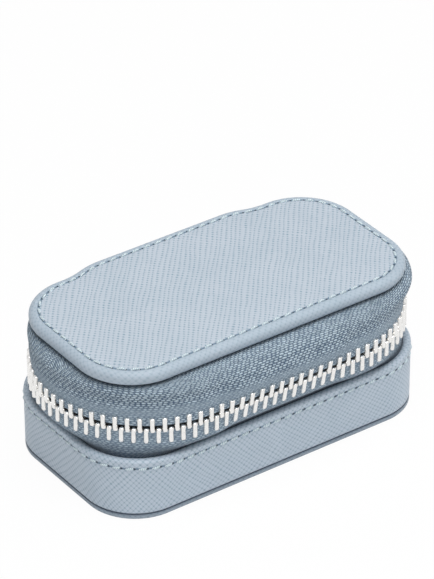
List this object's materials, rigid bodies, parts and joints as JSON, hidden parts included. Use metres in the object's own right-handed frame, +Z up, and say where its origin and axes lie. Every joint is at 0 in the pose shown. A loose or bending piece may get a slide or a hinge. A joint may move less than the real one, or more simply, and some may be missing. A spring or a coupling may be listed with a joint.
{
  "type": "jewelry box",
  "caption": "Small zip-round jewelry box in pale blue leather: flared base with a ring-roll tray, bellied zip band with metal teeth, and a padded lid on a soft hinge.",
  "frame": {"origin": "middle of the base's underside, on the surface it stands on", "axes": "+X along the box to the right seen from the front, +Y to the hinge at the back, +Z up"},
  "size_m": [0.0968, 0.0595, 0.0386],
  "materials": {
    "leather": "pale blue cross-grain leather, satin",
    "bottom_leather": "slate blue leather, matte",
    "zip_tape": "woven twill tape in dusty blue",
    "zip_metal": "polished silver teeth",
    "slider_metal": "polished silver casting",
    "lining": "short grey-blue velvet",
    "ring_velvet": "short grey-blue velvet over foam",
    "card": "raw grey-brown card",
    "foam": "thin open-cell foam"
  },
  "bodies": {
    "base": {"bottom_panel": "bottom_leather", "base_wall": "leather", "floor_board": "card", "wall_board": "card", "tray_lining": "lining", "tray_divider": "lining", "cross_divider": "lining", "ring_roll_1": "ring_velvet", "ring_roll_2": "ring_velvet", "ring_roll_3": "ring_velvet", "ring_roll_4": "ring_velvet", "lower_zip_tape": "zip_tape", "lower_zip_teeth": "zip_metal", "hinge_panel": "leather"},
    "lid": {"lid_cover": "leather", "lid_board": "card", "lid_foam": "foam", "lid_lining": "lining", "upper_zip_tape": "zip_tape", "upper_zip_teeth": "zip_metal"},
    "slider": {"zip_slider": "slider_metal"},
    "pull": {"pull_tab": "slider_metal"}
  },
  "joints": [
    {"name": "lid_hinge", "type": "hinge", "parent": "base", "child": "lid", "pos_m": [0, 0.02745, 0.0237], "axis": [-1, 0, 0], "range_deg": [0, 110], "deforming": ["hinge_panel"]},
    {"name": "slider_travel", "type": "hinge", "parent": "base", "child": "slider", "pos_m": [0.0206, 0, 0.0237], "axis": [0, 0, -1], "range_deg": [0, 155], "deforming": ["lower_zip_teeth", "upper_zip_teeth"]},
    {"name": "pull_swing", "type": "hinge", "parent": "slider", "child": "pull", "pos_m": [0.0269, 0.02954, 0.0237], "axis": [0.978, -0.2086, 0], "range_deg": [0, 175]}
  ]
}
